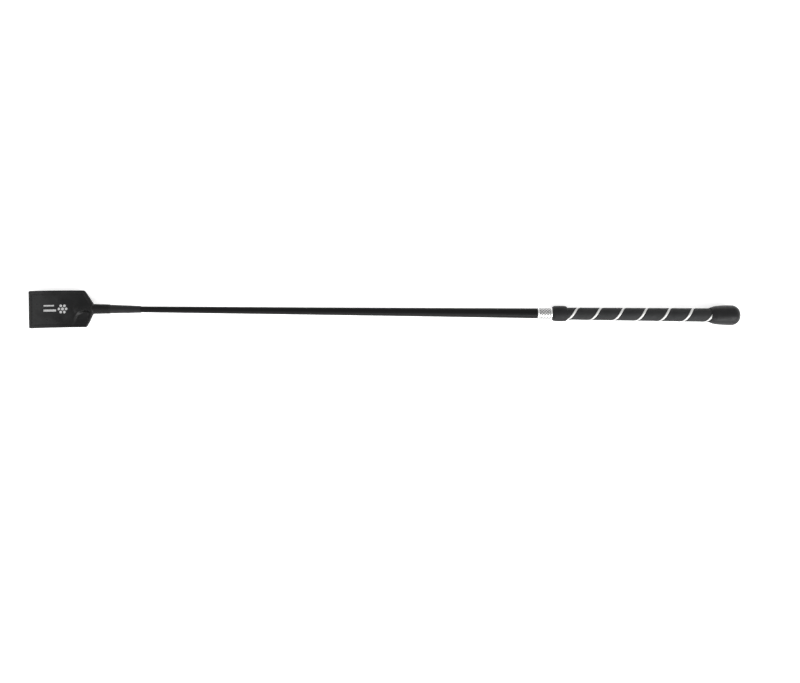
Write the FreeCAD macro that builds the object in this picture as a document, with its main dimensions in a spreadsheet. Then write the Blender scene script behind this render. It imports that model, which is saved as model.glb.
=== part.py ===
import FreeCAD, Part
import os
import re

import Sketcher
from FreeCAD import Vector

# A riding crop: a tapered fibreglass rod in a braided jacket, with a leather keeper bound to its
# thin end and a taped handle with a rubber cap at its thick end.
#
# Millimetres.  The rod's axis is the X axis: the keeper points along -X and the butt along +X.
# The keeper lies flat in the XY plane, and the origin is the middle of the crop's bounding box.

doc = FreeCAD.newDocument("RidingCrop")

# ------------------------------------------------------------------------------ driving sizes

SIZES = [
    ("length_overall", 650, "free end of the keeper to the end of the butt cap"),
    # keeper
    ("blade_length", 48, "free end to the line where the leather flexes"),
    ("root_length", 12.2, "flex line to the start of the neck"),
    ("blade_width_tip", 34.4, "width at the free end"),
    ("blade_width_root", 33.6, "width at the shoulders"),
    ("shoulder_length", 8.7, "length of the sloping shoulders"),
    ("neck_width", 10, "leather width where the shoulders meet the neck"),
    ("tip_slant", 1, "how much further one corner of the free end reaches than the other"),
    ("leather_wall", 1.5, "thickness of one leather layer"),
    ("edge_bevel", 0.3, "bevel along the leather's outer edges"),
    ("flex_angle", 70, "how far the keeper bends either way"),
    ("flex_room", 0.3, "gap left between the leather's two halves at full bend"),
    ("stitch_inset", 3, "edge to stitch line"),
    ("stitch_pitch", 3.4, "start of one stitch to the start of the next"),
    ("stitch_length", 2.5, "length of one stitch"),
    ("stitch_dia", 0.6, "stitching thread"),
    # neck
    ("whipping_length", 15.5, "length of the thread binding"),
    ("thread_dia", 0.8, "binding thread"),
    ("thread_spacing", 0.03, "gap between two turns of the thread"),
    ("sleeve_length", 27.9, "length of the sleeve over the leather's tails"),
    ("sleeve_wall", 0.37, "thickness of the sleeve"),
    ("sleeve_seat", 6, "length of sleeve that grips the braid past the tails"),
    ("tail_wall_front", 1.18, "leather over the braid at the start of the neck"),
    ("tail_wall_rear", 0.81, "leather over the braid at the end of the binding"),
    ("tail_wall_end", 0.2, "leather over the braid at the end of the tails"),
    # shaft
    ("shaft_dia_neck", 5.14, "over the braid, at the start of the neck"),
    ("shaft_dia_middle", 7.35, "over the braid, where the taper steepens"),
    ("shaft_dia_ferrule", 9.27, "over the braid, at the front of the ferrule"),
    ("front_taper_length", 254.8, "start of the neck to where the taper steepens"),
    ("braid_wall", 0.6, "thickness of the braided jacket"),
    ("rod_tip_gap", 0.6, "front edge of the leather's root to the tip of the rod"),
    ("rod_tip_round", 0.8, "rounding of the rod's tip"),
    # ferrule and collar
    ("ferrule_length", 13.2, "part of the ferrule that shows"),
    ("ferrule_tuck", 5, "part of the ferrule inside the collar"),
    ("ferrule_wall", 0.25, "ferrule over the braid's thick end"),
    ("ferrule_lip", 0.15, "rounding of the ferrule's front edge"),
    ("collar_length", 14.2, "length of the collar"),
    ("collar_wall", 1.95, "collar over the ferrule"),
    ("collar_round_front", 1.8, "rounding of the collar's front rim"),
    ("collar_round_rear", 1.2, "rounding of the collar's rear rim"),
    # grip
    ("grip_length", 130.3, "part of the grip that shows"),
    ("former_wall_front", 0.55, "former over the rod, beside the collar"),
    ("former_wall_rear", 1.25, "former over the rod, beside the cap"),
    ("grip_tuck", 3, "length of tape inside the collar, and inside the cap"),
    ("tape_wall", 0.9, "thickness of the grip tape"),
    ("piping_pitch", 21, "one turn of the piping along the grip"),
    ("piping_crest", 5.1, "front of the grip to where the piping first crosses the top"),
    ("piping_width", 2.3, "piping, measured along the grip"),
    ("piping_height", 0.6, "thickness of the piping"),
    ("piping_side_gap", 0.1, "gap between the piping and the tape on each side"),
    ("piping_seat", 0.02, "gap between the piping and the former under it"),
    # butt
    ("cap_length", 26.7, "length of the butt cap"),
    ("knob_wall", 3.45, "knob over the rod"),
    ("cap_shoulder_drop", 0.75, "how much the cap's radius is less where the lip's slope ends"),
    ("cap_lip_wall", 0.6, "thickness of the cap's front lip"),
    ("cap_lip_slope", 4.5, "length of the lip's steep slope"),
    ("cap_flare", 15.5, "front lip to where the cap reaches its largest diameter"),
    ("cap_end_round", 7, "rounding of the cap's end"),
    ("cap_wall", 1.6, "thickness of the cap's side"),
    ("cap_end_wall", 2.5, "thickness of the cap's end"),
    ("cap_mouth", 5.5, "depth of the cap's mouth, in front of the knob"),
    ("rod_end_cover", 4.5, "knob left solid past the end of the rod"),
]

sheet = doc.addObject("Spreadsheet::Sheet", "Sizes")
for row, (alias, value, meaning) in enumerate(SIZES, start=1):
    sheet.set(f"A{row}", str(value))
    sheet.setAlias(f"A{row}", alias)
    sheet.set(f"B{row}", meaning)
doc.recompute()

SIZE_NAMES = {alias for alias, value, meaning in SIZES}


def bound(formula):
    """The formula as FreeCAD reads it: each size by its cell in the sheet."""
    return re.sub(r"[a-z_]+", lambda word: f"Sizes.{word[0]}" if word[0] in SIZE_NAMES else word[0], formula)


def number(formula):
    """The formula's present value."""
    return float(sheet.evalExpression(bound(formula)))


# ------------------------------------------------------------------- stations along the X axis

X_TIP = "(-length_overall / 2)"
X_FLEX = f"({X_TIP} + blade_length)"
X_NECK = f"({X_FLEX} + root_length)"
X_SHOULDER = f"({X_NECK} - shoulder_length)"
X_SLEEVE = f"({X_NECK} + whipping_length)"
X_SLEEVE_END = f"({X_SLEEVE} + sleeve_length)"
X_TAIL_END = f"({X_SLEEVE_END} - sleeve_seat)"
X_MIDDLE = f"({X_NECK} + front_taper_length)"

X_BUTT = "(length_overall / 2)"
X_CAP = f"({X_BUTT} - cap_length)"
X_GRIP = f"({X_CAP} - grip_length)"
X_COLLAR = f"({X_GRIP} - collar_length)"
X_FERRULE = f"({X_COLLAR} - ferrule_length)"
X_FERRULE_END = f"({X_COLLAR} + ferrule_tuck)"
X_TAPE = f"({X_GRIP} - grip_tuck)"
X_TAPE_END = f"({X_CAP} + grip_tuck)"
X_KNOB = f"({X_CAP} + cap_mouth)"
X_KNOB_WIDE = f"({X_CAP} + cap_flare)"
X_KNOB_END = f"({X_BUTT} - cap_end_wall)"
X_ROD_END = f"({X_KNOB_END} - rod_end_cover)"

# Each half of the keeper stops this far from the flex line, so that its square edge clears the
# other half when the keeper is bent to its limit.
FLEX_GAP = "((leather_wall * sin(flex_angle) + flex_room) / (1 + cos(flex_angle)))"
X_BLADE_END = f"({X_FLEX} - {FLEX_GAP})"
X_ROOT = f"({X_FLEX} + {FLEX_GAP})"
X_ROD_TIP = f"({X_ROOT} + rod_tip_gap)"


# ------------------------------------------------------------------------- radii at a station

def line_between(x, x0, r0, x1, r1):
    """Radius at x on the straight line from (x0, r0) to (x1, r1)."""
    return f"({r0} + ({x} - {x0}) * ({r1} - {r0}) / ({x1} - {x0}))"


def shaft_front(x):
    """Radius over the braid, from the keeper to where the taper steepens."""
    return line_between(x, X_NECK, "shaft_dia_neck / 2", X_MIDDLE, "shaft_dia_middle / 2")


def shaft_rear(x):
    """Radius over the braid, from where the taper steepens to the handle."""
    return line_between(x, X_MIDDLE, "shaft_dia_middle / 2", X_FERRULE, "shaft_dia_ferrule / 2")


ROD_HANDLE = f"({shaft_rear(X_FERRULE_END)} - braid_wall)"


def former_radius(x):
    """Radius under the grip tape."""
    front = f"({ROD_HANDLE} + former_wall_front)"
    rear = f"({ROD_HANDLE} + former_wall_rear)"
    return line_between(x, X_GRIP, front, X_CAP, rear)


def grip_radius(x):
    """Radius over the grip tape."""
    return f"({former_radius(x)} + tape_wall)"


ROD_TIP = f"({shaft_front(X_ROD_TIP)} - braid_wall)"
ROD_NECK = "(shaft_dia_neck / 2 - braid_wall)"
ROD_MIDDLE = "(shaft_dia_middle / 2 - braid_wall)"

NECK_FRONT = "(shaft_dia_neck / 2 + tail_wall_front)"
NECK_REAR = f"({shaft_front(X_SLEEVE)} + tail_wall_rear)"
TAIL_END = f"({shaft_front(X_TAIL_END)} + tail_wall_end)"

FERRULE_SIDE = f"({shaft_rear(X_FERRULE_END)} + ferrule_wall)"
COLLAR_SIDE = f"({FERRULE_SIDE} + collar_wall)"

KNOB_SIDE = f"({ROD_HANDLE} + knob_wall)"
KNOB_FRONT = f"({KNOB_SIDE} - cap_shoulder_drop)"
CAP_SIDE = f"({KNOB_SIDE} + cap_wall)"
CAP_SHOULDER = f"({CAP_SIDE} - cap_shoulder_drop)"
CAP_LIP = f"({grip_radius(X_CAP)} + cap_lip_wall)"


# ----------------------------------------------------------------------------------- helpers

# Two lengths that differ by less than this are the same length.
SAME_PLACE = 1e-4


def new_body(label):
    body = doc.addObject("PartDesign::Body", label)
    body.Label = label
    return body


def origin_plane(body, role):
    return next(item for item in body.Origin.OriginFeatures if item.Role == role)


def draw_outline(body, name, points):
    """A closed outline of straight lines in the body's XY plane.

    Each point is a pair of formulas, and each coordinate is bound to its formula.
    """
    sketch = body.newObject("Sketcher::SketchObject", name)
    sketch.AttachmentSupport = [(origin_plane(body, "XY_Plane"), "")]
    sketch.MapMode = "FlatFace"
    corners = [Vector(number(x), number(y), 0) for x, y in points]
    for index, corner in enumerate(corners):
        sketch.addGeometry(Part.LineSegment(corner, corners[(index + 1) % len(corners)]))
    for index in range(len(corners)):
        following = (index + 1) % len(corners)
        sketch.addConstraint(Sketcher.Constraint("Coincident", index, 2, following, 1))
    for index, point in enumerate(points):
        for kind, formula, axis in zip(("DistanceX", "DistanceY"), point, (-2, -1)):
            if formula == "0":
                sketch.addConstraint(Sketcher.Constraint("PointOnObject", index, 1, axis))
            else:
                place = sketch.addConstraint(Sketcher.Constraint(kind, index, 1, number(formula)))
                sketch.setExpression(f"Constraints[{place}]", bound(formula))
    return sketch


def turn(body, name, points, angle=360, backwards=False):
    """Adds the half outline, (x, radius) points, turned about the X axis."""
    sketch = draw_outline(body, f"{name}_outline", points)
    feature = body.newObject("PartDesign::Revolution", name)
    feature.Profile = sketch
    feature.ReferenceAxis = (sketch, ["H_Axis"])
    feature.Angle = angle
    feature.Reversed = backwards
    doc.recompute()
    return feature


def turn_away(body, name, points):
    """Cuts the half outline, turned about the X axis, out of the body."""
    volume = body.Shape.Volume
    sketch = draw_outline(body, f"{name}_outline", points)
    feature = body.newObject("PartDesign::Groove", name)
    feature.Profile = sketch
    feature.ReferenceAxis = (sketch, ["H_Axis"])
    feature.Angle = 360
    doc.recompute()
    if body.Shape.Volume >= volume:
        raise RuntimeError(f"{name} cuts nothing")
    return feature


def wind_away(body, name, front, rear, inner, outer, pitch, length):
    """Cuts a left-handed winding about the X axis out of the body.

    Its section is the rectangle from front to rear along the axis and from inner to outer radius.
    """
    volume = body.Shape.Volume
    sketch = draw_outline(body, f"{name}_section", [
        (front, inner),
        (front, outer),
        (rear, outer),
        (rear, inner),
    ])
    feature = body.newObject("PartDesign::SubtractiveHelix", name)
    feature.Profile = sketch
    feature.ReferenceAxis = (sketch, ["H_Axis"])
    feature.Mode = "pitch-height-angle"
    feature.LeftHanded = True
    feature.setExpression("Pitch", bound(pitch))
    feature.setExpression("Height", bound(length))
    doc.recompute()
    if body.Shape.Volume >= volume:
        raise RuntimeError(f"{name} cuts nothing")


def ring_edges(feature, x, radius):
    """Names of the feature's circular edges about the X axis at x with this radius."""
    names = []
    for index, edge in enumerate(feature.Shape.Edges, start=1):
        curve = edge.Curve
        if not isinstance(curve, Part.Circle):
            continue
        if abs(curve.Center.x - number(x)) < SAME_PLACE and abs(curve.Radius - number(radius)) < SAME_PLACE:
            names.append(f"Edge{index}")
    if not names:
        raise RuntimeError(f"{feature.Label} has no edge at {x}")
    return names


def round_edges(body, name, base, rings, radius):
    """Rounds the ring edges of base: each ring is an (x, radius) pair of formulas."""
    names = []
    for x, ring_radius in rings:
        names += ring_edges(base, x, ring_radius)
    feature = body.newObject("PartDesign::Fillet", name)
    feature.Base = (base, names)
    feature.setExpression("Radius", bound(radius))
    doc.recompute()
    return feature


# -------------------------------------------------------------------------------- the shaft

def make_core_rod():
    """Fibreglass rod from inside the keeper to inside the butt knob, in one length."""
    body = new_body("core_rod")
    rod = turn(body, "rod", [
        (X_ROD_TIP, "0"),
        (X_ROD_TIP, ROD_TIP),
        (X_MIDDLE, ROD_MIDDLE),
        (X_FERRULE_END, ROD_HANDLE),
        (X_ROD_END, ROD_HANDLE),
        (X_ROD_END, "0"),
    ])
    round_edges(body, "rod_tip", rod, [(X_ROD_TIP, ROD_TIP)], "rod_tip_round")
    return body


def make_shaft_braid():
    """Braided jacket, tight on the rod from the neck to the end of the ferrule."""
    body = new_body("shaft_braid")
    turn(body, "jacket", [
        (X_NECK, ROD_NECK),
        (X_NECK, "(shaft_dia_neck / 2)"),
        (X_MIDDLE, "(shaft_dia_middle / 2)"),
        (X_FERRULE_END, shaft_rear(X_FERRULE_END)),
        (X_FERRULE_END, ROD_HANDLE),
        (X_MIDDLE, ROD_MIDDLE),
    ])
    return body


# ------------------------------------------------------------------------------- the keeper

def pad_leather(body, name, points, underside):
    """Pads the outline by one leather layer, away from the XY plane."""
    sketch = draw_outline(body, f"{name}_outline", points)
    feature = body.newObject("PartDesign::Pad", name)
    feature.Profile = sketch
    feature.setExpression("Length", bound("leather_wall"))
    feature.Reversed = underside
    doc.recompute()
    return feature


def bevel_outer_edges(body, name, base, underside):
    """Bevels the edges of the layer's outer face, except the square edge at the flex line."""
    outer_z = number("leather_wall") * (-1 if underside else 1)
    flex_x = number(X_BLADE_END)
    names = []
    for index, edge in enumerate(base.Shape.Edges, start=1):
        ends = [vertex.Point for vertex in edge.Vertexes]
        on_face = all(abs(point.z - outer_z) < SAME_PLACE for point in ends)
        at_flex = all(abs(point.x - flex_x) < SAME_PLACE for point in ends)
        if on_face and not at_flex:
            names.append(f"Edge{index}")
    feature = body.newObject("PartDesign::Chamfer", name)
    feature.Base = (base, names)
    feature.setExpression("Size", bound("edge_bevel"))
    doc.recompute()


def half_width(x):
    """Half the keeper's width between its free end and its shoulders."""
    return line_between(x, X_TIP, "blade_width_tip / 2", X_SHOULDER, "blade_width_root / 2")


def make_keeper_blade(label, underside):
    """One leather layer of the keeper, from its free end to the flex line."""
    body = new_body(label)
    blade = pad_leather(body, "blade", [
        (X_TIP, "(blade_width_tip / 2)"),
        (X_BLADE_END, half_width(X_BLADE_END)),
        (X_BLADE_END, f"(-{half_width(X_BLADE_END)})"),
        (f"({X_TIP} + tip_slant)", "(-blade_width_tip / 2)"),
    ], underside)
    bevel_outer_edges(body, "blade_edges", blade, underside)
    return body


def make_keeper_root(label, underside):
    """One leather layer's shoulders, bent round the rod, and its pared tail along the braid."""
    body = new_body(label)
    pad_leather(body, "shoulders", [
        (X_ROOT, half_width(X_ROOT)),
        (X_SHOULDER, "(blade_width_root / 2)"),
        (X_NECK, "(neck_width / 2)"),
        (X_NECK, "(-neck_width / 2)"),
        (X_SHOULDER, "(-blade_width_root / 2)"),
        (X_ROOT, f"(-{half_width(X_ROOT)})"),
    ], underside)
    turn(body, "tail", [
        (X_ROOT, "0"),
        (X_ROOT, f"({ROD_TIP} + leather_wall)"),
        (X_NECK, NECK_FRONT),
        (X_SLEEVE, NECK_REAR),
        (X_TAIL_END, TAIL_END),
        (X_TAIL_END, "0"),
    ], angle=180, backwards=underside)
    turn_away(body, "rod_channel", [
        (X_ROOT, "0"),
        (X_ROOT, f"({shaft_front(X_ROOT)} - braid_wall)"),
        (X_NECK, ROD_NECK),
        (X_NECK, "(shaft_dia_neck / 2)"),
        (X_TAIL_END, shaft_front(X_TAIL_END)),
        (X_TAIL_END, "0"),
    ])
    return body


def stitches_between(start, end, z):
    """Evenly spaced stitches on the straight line from start to end, at height z."""
    pitch = number("stitch_pitch")
    length = number("stitch_length")
    radius = number("stitch_dia / 2")
    run = Vector(end[0] - start[0], end[1] - start[1], 0)
    count = int(run.Length / pitch)
    direction = run.normalize()
    first = Vector(start[0], start[1], z)
    return [
        Part.makeCylinder(radius, length, first + direction * (pitch * (index + 0.5) - length / 2), direction)
        for index in range(count)
    ]


def make_stitching(label, lines):
    """Lock stitches along straight lines, pulled into both faces until they are flush."""
    depth = number("leather_wall - stitch_dia / 2")
    stitches = []
    for start, end in lines:
        stitches += stitches_between(start, end, depth)
        stitches += stitches_between(start, end, -depth)
    group = doc.addObject("Part::Feature", label)
    group.Label = label
    group.Shape = Part.makeCompound(stitches)
    group.Placement = FreeCAD.Placement()
    return group


def make_keeper_stitching():
    """Stitches round the blade's three free sides."""
    inset = number("stitch_inset")
    free_end = number(f"{X_TIP} + tip_slant") + inset
    flex_end = number(X_BLADE_END)
    tip_side = number("blade_width_tip / 2") - inset
    flex_side = number(half_width(X_BLADE_END)) - inset
    return make_stitching("keeper_stitching", [
        ((flex_end, flex_side), (free_end, tip_side)),
        ((free_end, tip_side), (free_end, -tip_side)),
        ((free_end, -tip_side), (flex_end, -flex_side)),
    ])


def make_root_stitching():
    """Stitches along the two sloping shoulders, which end beside the neck."""
    inset = number("stitch_inset")
    wide = number("blade_width_root / 2")
    narrow = number("neck_width / 2")
    slope = Vector(number("shoulder_length"), narrow - wide, 0).normalize()
    # The line inside the slope meets the side's own stitch line at the outer corner.
    outer_x = number(X_SHOULDER) - inset * (1 - slope.x) / -slope.y
    inner_x = number(X_NECK) + inset * slope.y
    inner_y = narrow - inset * slope.x
    return make_stitching("root_stitching", [
        ((outer_x, (wide - inset) * side), (inner_x, inner_y * side)) for side in (1, -1)
    ])


# --------------------------------------------------------------------------------- the neck

def make_neck_whipping():
    """Thread wound tightly round the neck, which holds the leather's tails on the shaft."""
    line = doc.addObject("Part::Helix", "thread_line")
    line.setExpression("Pitch", bound("thread_dia + thread_spacing"))
    line.setExpression("Height", bound("whipping_length - thread_dia"))
    line.setExpression("Radius", bound(f"{NECK_FRONT} + thread_dia / 2 + thread_spacing"))
    line.setExpression("Angle", bound(f"atan(({NECK_REAR} - {NECK_FRONT}) / whipping_length)"))
    line.Placement.Rotation = FreeCAD.Rotation(Vector(0, 0, 1), Vector(1, 0, 0))
    line.setExpression("Placement.Base.x", bound(f"{X_NECK} + thread_dia / 2"))
    section = doc.addObject("Part::Circle", "thread_section")
    section.setExpression("Radius", bound("thread_dia / 2"))
    section.Placement.Rotation = FreeCAD.Rotation(Vector(0, 0, 1), Vector(0, 1, 0))
    section.setExpression("Placement.Base.x", bound(f"{X_NECK} + thread_dia / 2"))
    section.setExpression("Placement.Base.z", bound(f"-({NECK_FRONT} + thread_dia / 2 + thread_spacing)"))
    coil = doc.addObject("Part::Sweep", "neck_whipping")
    coil.Label = "neck_whipping"
    coil.Sections = [section]
    coil.Spine = (line, [])
    coil.Solid = True
    coil.Frenet = True
    return coil


def make_tail_sleeve():
    """Shrunk sleeve that covers the pared tails and ends on the braid."""
    body = new_body("tail_sleeve")
    turn(body, "sleeve", [
        (X_SLEEVE, NECK_REAR),
        (X_SLEEVE, f"({NECK_REAR} + sleeve_wall)"),
        (X_SLEEVE_END, f"({shaft_front(X_SLEEVE_END)} + sleeve_wall)"),
        (X_SLEEVE_END, shaft_front(X_SLEEVE_END)),
        (X_TAIL_END, TAIL_END),
    ])
    return body


# ------------------------------------------------------------------------------- the handle

def make_ferrule():
    """Thin metal ferrule, pressed on the braid's end and tucked into the collar."""
    body = new_body("ferrule")
    tube = turn(body, "tube", [
        (X_FERRULE, shaft_rear(X_FERRULE)),
        (X_FERRULE, FERRULE_SIDE),
        (X_FERRULE_END, FERRULE_SIDE),
        (X_FERRULE_END, shaft_rear(X_FERRULE_END)),
    ])
    round_edges(body, "front_edge", tube, [(X_FERRULE, FERRULE_SIDE)], "ferrule_lip")
    return body


def make_handle_former():
    """Moulded tube that builds the rod up to the grip's size."""
    body = new_body("handle_former")
    turn(body, "tube", [
        (X_FERRULE_END, ROD_HANDLE),
        (X_FERRULE_END, former_radius(X_FERRULE_END)),
        (X_KNOB, former_radius(X_KNOB)),
        (X_KNOB, ROD_HANDLE),
    ])
    return body


def make_front_collar():
    """Rubber collar over the ferrule's rear end and the tape's front end."""
    body = new_body("front_collar")
    ring = turn(body, "ring", [
        (X_COLLAR, FERRULE_SIDE),
        (X_COLLAR, COLLAR_SIDE),
        (X_GRIP, COLLAR_SIDE),
        (X_GRIP, grip_radius(X_GRIP)),
        (X_TAPE, grip_radius(X_TAPE)),
        (X_TAPE, former_radius(X_TAPE)),
        (X_FERRULE_END, former_radius(X_FERRULE_END)),
        (X_FERRULE_END, FERRULE_SIDE),
    ])
    front = round_edges(body, "front_rim", ring, [(X_COLLAR, COLLAR_SIDE)], "collar_round_front")
    round_edges(body, "rear_rim", front, [(X_GRIP, COLLAR_SIDE)], "collar_round_rear")
    return body


# The piping crosses +Z three quarters of a turn after it crosses +Y, so this is a crossing of +Y
# in front of the tape.  The winding runs on from there until it is past the tape's other end.
X_WINDING = f"({X_GRIP} + piping_crest - 0.75 * piping_pitch)"
X_WINDING_END = f"({X_TAPE_END} + piping_width)"
UNDER_TAPE = f"({former_radius(X_TAPE)} - tape_wall)"
OVER_TAPE = f"({grip_radius(X_TAPE_END)} + tape_wall)"


def make_grip_tape():
    """Rubber tape wound round the former, with a channel left open between its turns."""
    body = new_body("grip_tape")
    turn(body, "tape", [
        (X_TAPE, former_radius(X_TAPE)),
        (X_TAPE, grip_radius(X_TAPE)),
        (X_TAPE_END, grip_radius(X_TAPE_END)),
        (X_TAPE_END, former_radius(X_TAPE_END)),
    ])
    half = "(piping_width / 2 + piping_side_gap)"
    wind_away(
        body, "channel",
        f"({X_WINDING} - {half})", f"({X_WINDING} + {half})", UNDER_TAPE, OVER_TAPE,
        "piping_pitch", f"{X_WINDING_END} - {X_WINDING}",
    )
    return body


def make_grip_piping():
    """Bright cord laid in the tape's channel, below the tape's surface."""
    body = new_body("grip_piping")
    floor = f"({former_radius(X_TAPE)} + piping_seat)"
    floor_end = f"({former_radius(X_TAPE_END)} + piping_seat)"
    turn(body, "cord", [
        (X_TAPE, floor),
        (X_TAPE, f"({floor} + piping_height)"),
        (X_TAPE_END, f"({floor_end} + piping_height)"),
        (X_TAPE_END, floor_end),
    ])
    # What is left between the turns of this cut is the cord.
    wind_away(
        body, "between_turns",
        f"({X_WINDING} - piping_pitch + piping_width / 2)", f"({X_WINDING} - piping_width / 2)",
        UNDER_TAPE, OVER_TAPE, "piping_pitch", f"{X_WINDING_END} - {X_WINDING} + piping_pitch",
    )
    return body


# --------------------------------------------------------------------------------- the butt

KNOB_OUTLINE = [
    (X_KNOB, KNOB_FRONT),
    (X_KNOB_WIDE, KNOB_SIDE),
    (X_KNOB_END, KNOB_SIDE),
    (X_KNOB_END, "0"),
]


def make_butt_knob():
    """Moulded knob on the rod's end, which the cap is stretched over."""
    body = new_body("butt_knob")
    knob = turn(body, "knob", [(X_KNOB, ROD_HANDLE)] + KNOB_OUTLINE + [
        (X_ROD_END, "0"),
        (X_ROD_END, ROD_HANDLE),
    ])
    round_edges(body, "knob_end", knob, [(X_KNOB_END, KNOB_SIDE)], "cap_end_round - cap_wall")
    return body


def make_butt_cap():
    """Rubber cap over the knob, with a lip that closes on the grip tape."""
    body = new_body("butt_cap")
    turn(body, "outside", [
        (X_CAP, "0"),
        (X_CAP, CAP_LIP),
        (f"({X_CAP} + cap_lip_slope)", CAP_SHOULDER),
        (X_KNOB_WIDE, CAP_SIDE),
        (X_BUTT, CAP_SIDE),
        (X_BUTT, "0"),
    ])
    inside = turn_away(body, "inside", [
        (X_CAP, "0"),
        (X_CAP, grip_radius(X_CAP)),
        (X_KNOB, grip_radius(X_KNOB)),
    ] + KNOB_OUTLINE)
    rounded = round_edges(body, "inside_end", inside, [(X_KNOB_END, KNOB_SIDE)], "cap_end_round - cap_wall")
    round_edges(body, "cap_end", rounded, [(X_BUTT, CAP_SIDE)], "cap_end_round")
    return body


# ----------------------------------------------------------------------------------- assembly

sub_parts = [
    make_core_rod(),
    make_shaft_braid(),
    make_keeper_blade("keeper_front", underside=False),
    make_keeper_blade("keeper_back", underside=True),
    make_keeper_stitching(),
    make_keeper_root("keeper_root_front", underside=False),
    make_keeper_root("keeper_root_back", underside=True),
    make_root_stitching(),
    make_neck_whipping(),
    make_tail_sleeve(),
    make_ferrule(),
    make_handle_former(),
    make_front_collar(),
    make_grip_tape(),
    make_grip_piping(),
    make_butt_knob(),
    make_butt_cap(),
]
doc.recompute()

for item in doc.Objects:
    if {"Invalid", "Error"} & set(item.State):
        raise RuntimeError(f"{item.Label} did not build: {item.State}")

for item in sub_parts:
    if item.Shape.isNull() or not item.Shape.isValid():
        raise RuntimeError(f"{item.Label} has no valid shape")

os.makedirs("parts", exist_ok=True)
for item in sub_parts:
    item.Shape.exportStep(f"parts/{item.Label}.step")
    print(f"{item.Label}: {len(item.Shape.Solids)} solid(s), {item.Shape.Volume:.1f} mm3")
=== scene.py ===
import math

import bmesh
import bpy
import numpy as np
from mathutils import Euler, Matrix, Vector
from mathutils.bvhtree import BVHTree


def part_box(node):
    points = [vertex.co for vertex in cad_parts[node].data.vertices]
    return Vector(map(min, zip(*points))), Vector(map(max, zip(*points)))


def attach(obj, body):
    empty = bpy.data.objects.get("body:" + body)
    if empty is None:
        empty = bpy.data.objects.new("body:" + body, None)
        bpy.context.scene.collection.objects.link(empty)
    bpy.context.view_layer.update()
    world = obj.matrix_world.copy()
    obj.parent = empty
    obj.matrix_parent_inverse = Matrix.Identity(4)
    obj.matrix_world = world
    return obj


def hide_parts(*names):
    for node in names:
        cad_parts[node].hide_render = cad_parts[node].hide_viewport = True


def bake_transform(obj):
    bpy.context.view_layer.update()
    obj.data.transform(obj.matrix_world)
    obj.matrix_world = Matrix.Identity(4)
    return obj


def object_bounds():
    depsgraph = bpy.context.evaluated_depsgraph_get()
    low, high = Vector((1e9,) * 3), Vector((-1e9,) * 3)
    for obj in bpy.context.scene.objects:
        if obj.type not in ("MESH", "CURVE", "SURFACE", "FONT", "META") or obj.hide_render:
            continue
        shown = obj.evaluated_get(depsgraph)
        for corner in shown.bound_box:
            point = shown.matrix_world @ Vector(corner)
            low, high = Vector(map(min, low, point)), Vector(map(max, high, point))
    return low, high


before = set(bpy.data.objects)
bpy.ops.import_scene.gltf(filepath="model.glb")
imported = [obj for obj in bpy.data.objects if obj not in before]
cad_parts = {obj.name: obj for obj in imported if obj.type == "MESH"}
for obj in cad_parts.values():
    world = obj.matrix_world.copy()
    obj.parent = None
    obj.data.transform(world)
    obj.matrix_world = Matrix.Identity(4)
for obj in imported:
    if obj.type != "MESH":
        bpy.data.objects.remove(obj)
CAD_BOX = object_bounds()

# A riding crop, laid flat: the rod's axis is X, the leather keeper is at -X and the butt at +X.
# Lengths are in metres, and MM turns millimetres into metres.

MM = 0.001
TAU = 2 * math.pi
# Keeps a division by zero away.
TINY = 1e-9
# Vertices closer together than this are joined.
SAME_POINT = 1e-6


# ------------------------------------------------------------------------- places in the frame

def span(node):
    """First and last x of a CAD node."""
    low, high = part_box(node)
    return low.x, high.x


TREES = {}


def radius_at(node, x):
    """The outer radius of a turned CAD node at x, where a ray from above meets it."""
    if node not in TREES:
        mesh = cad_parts[node].data
        TREES[node] = BVHTree.FromPolygons(
            [v.co for v in mesh.vertices],
            [p.vertices for p in mesh.polygons],
        )
    above = Vector((x, 0, 100 * MM))
    place = TREES[node].ray_cast(above, Vector((0, 0, -1)))[0]
    return place.z


def cone(node, low_x, high_x):
    """The outer radius of a CAD node that tapers evenly between two stations, as a function."""
    ends = (low_x, high_x)
    radii = [radius_at(node, x) for x in ends]
    return lambda x: np.interp(x, ends, radii)


TIP_X = span("keeper_front")[0]
TAIL_END_X = span("keeper_root_front")[1]
NECK_X, WHIPPING_END_X = span("neck_whipping")
SLEEVE_X, SLEEVE_END_X = span("tail_sleeve")
BRAID_X, BRAID_END_X = span("shaft_braid")
FERRULE_X, FERRULE_END_X = span("ferrule")
COLLAR_X, COLLAR_END_X = span("front_collar")
TAPE_X, TAPE_END_X = span("grip_tape")
CAP_X, CAP_END_X = span("butt_cap")

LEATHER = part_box("keeper_front")[1].z
BLADE_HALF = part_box("keeper_front")[1].y
ROOT_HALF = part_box("keeper_root_front")[1].y
ROD_TIP_X = span("core_rod")[0]
FLOOR_Z = CAD_BOX[0][2]


# ------------------------------------------------------------------------------- mesh helpers

def add_object(name, vertices, faces, uvs=None):
    """A smooth mesh object. uvs holds one pair per vertex, in metres along the surface."""
    mesh = bpy.data.meshes.new(name)
    mesh.from_pydata([tuple(v) for v in vertices], [], faces)
    if uvs is not None:
        layer = mesh.uv_layers.new(name="Surface")
        corners = np.empty(len(mesh.loops), dtype=np.int64)
        mesh.loops.foreach_get("vertex_index", corners)
        layer.data.foreach_set("uv", np.asarray(uvs, dtype=np.float32)[corners].ravel())
    mesh.shade_smooth()
    mesh.update()
    piece = bpy.data.objects.new(name, mesh)
    bpy.context.scene.collection.objects.link(piece)
    return piece


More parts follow.
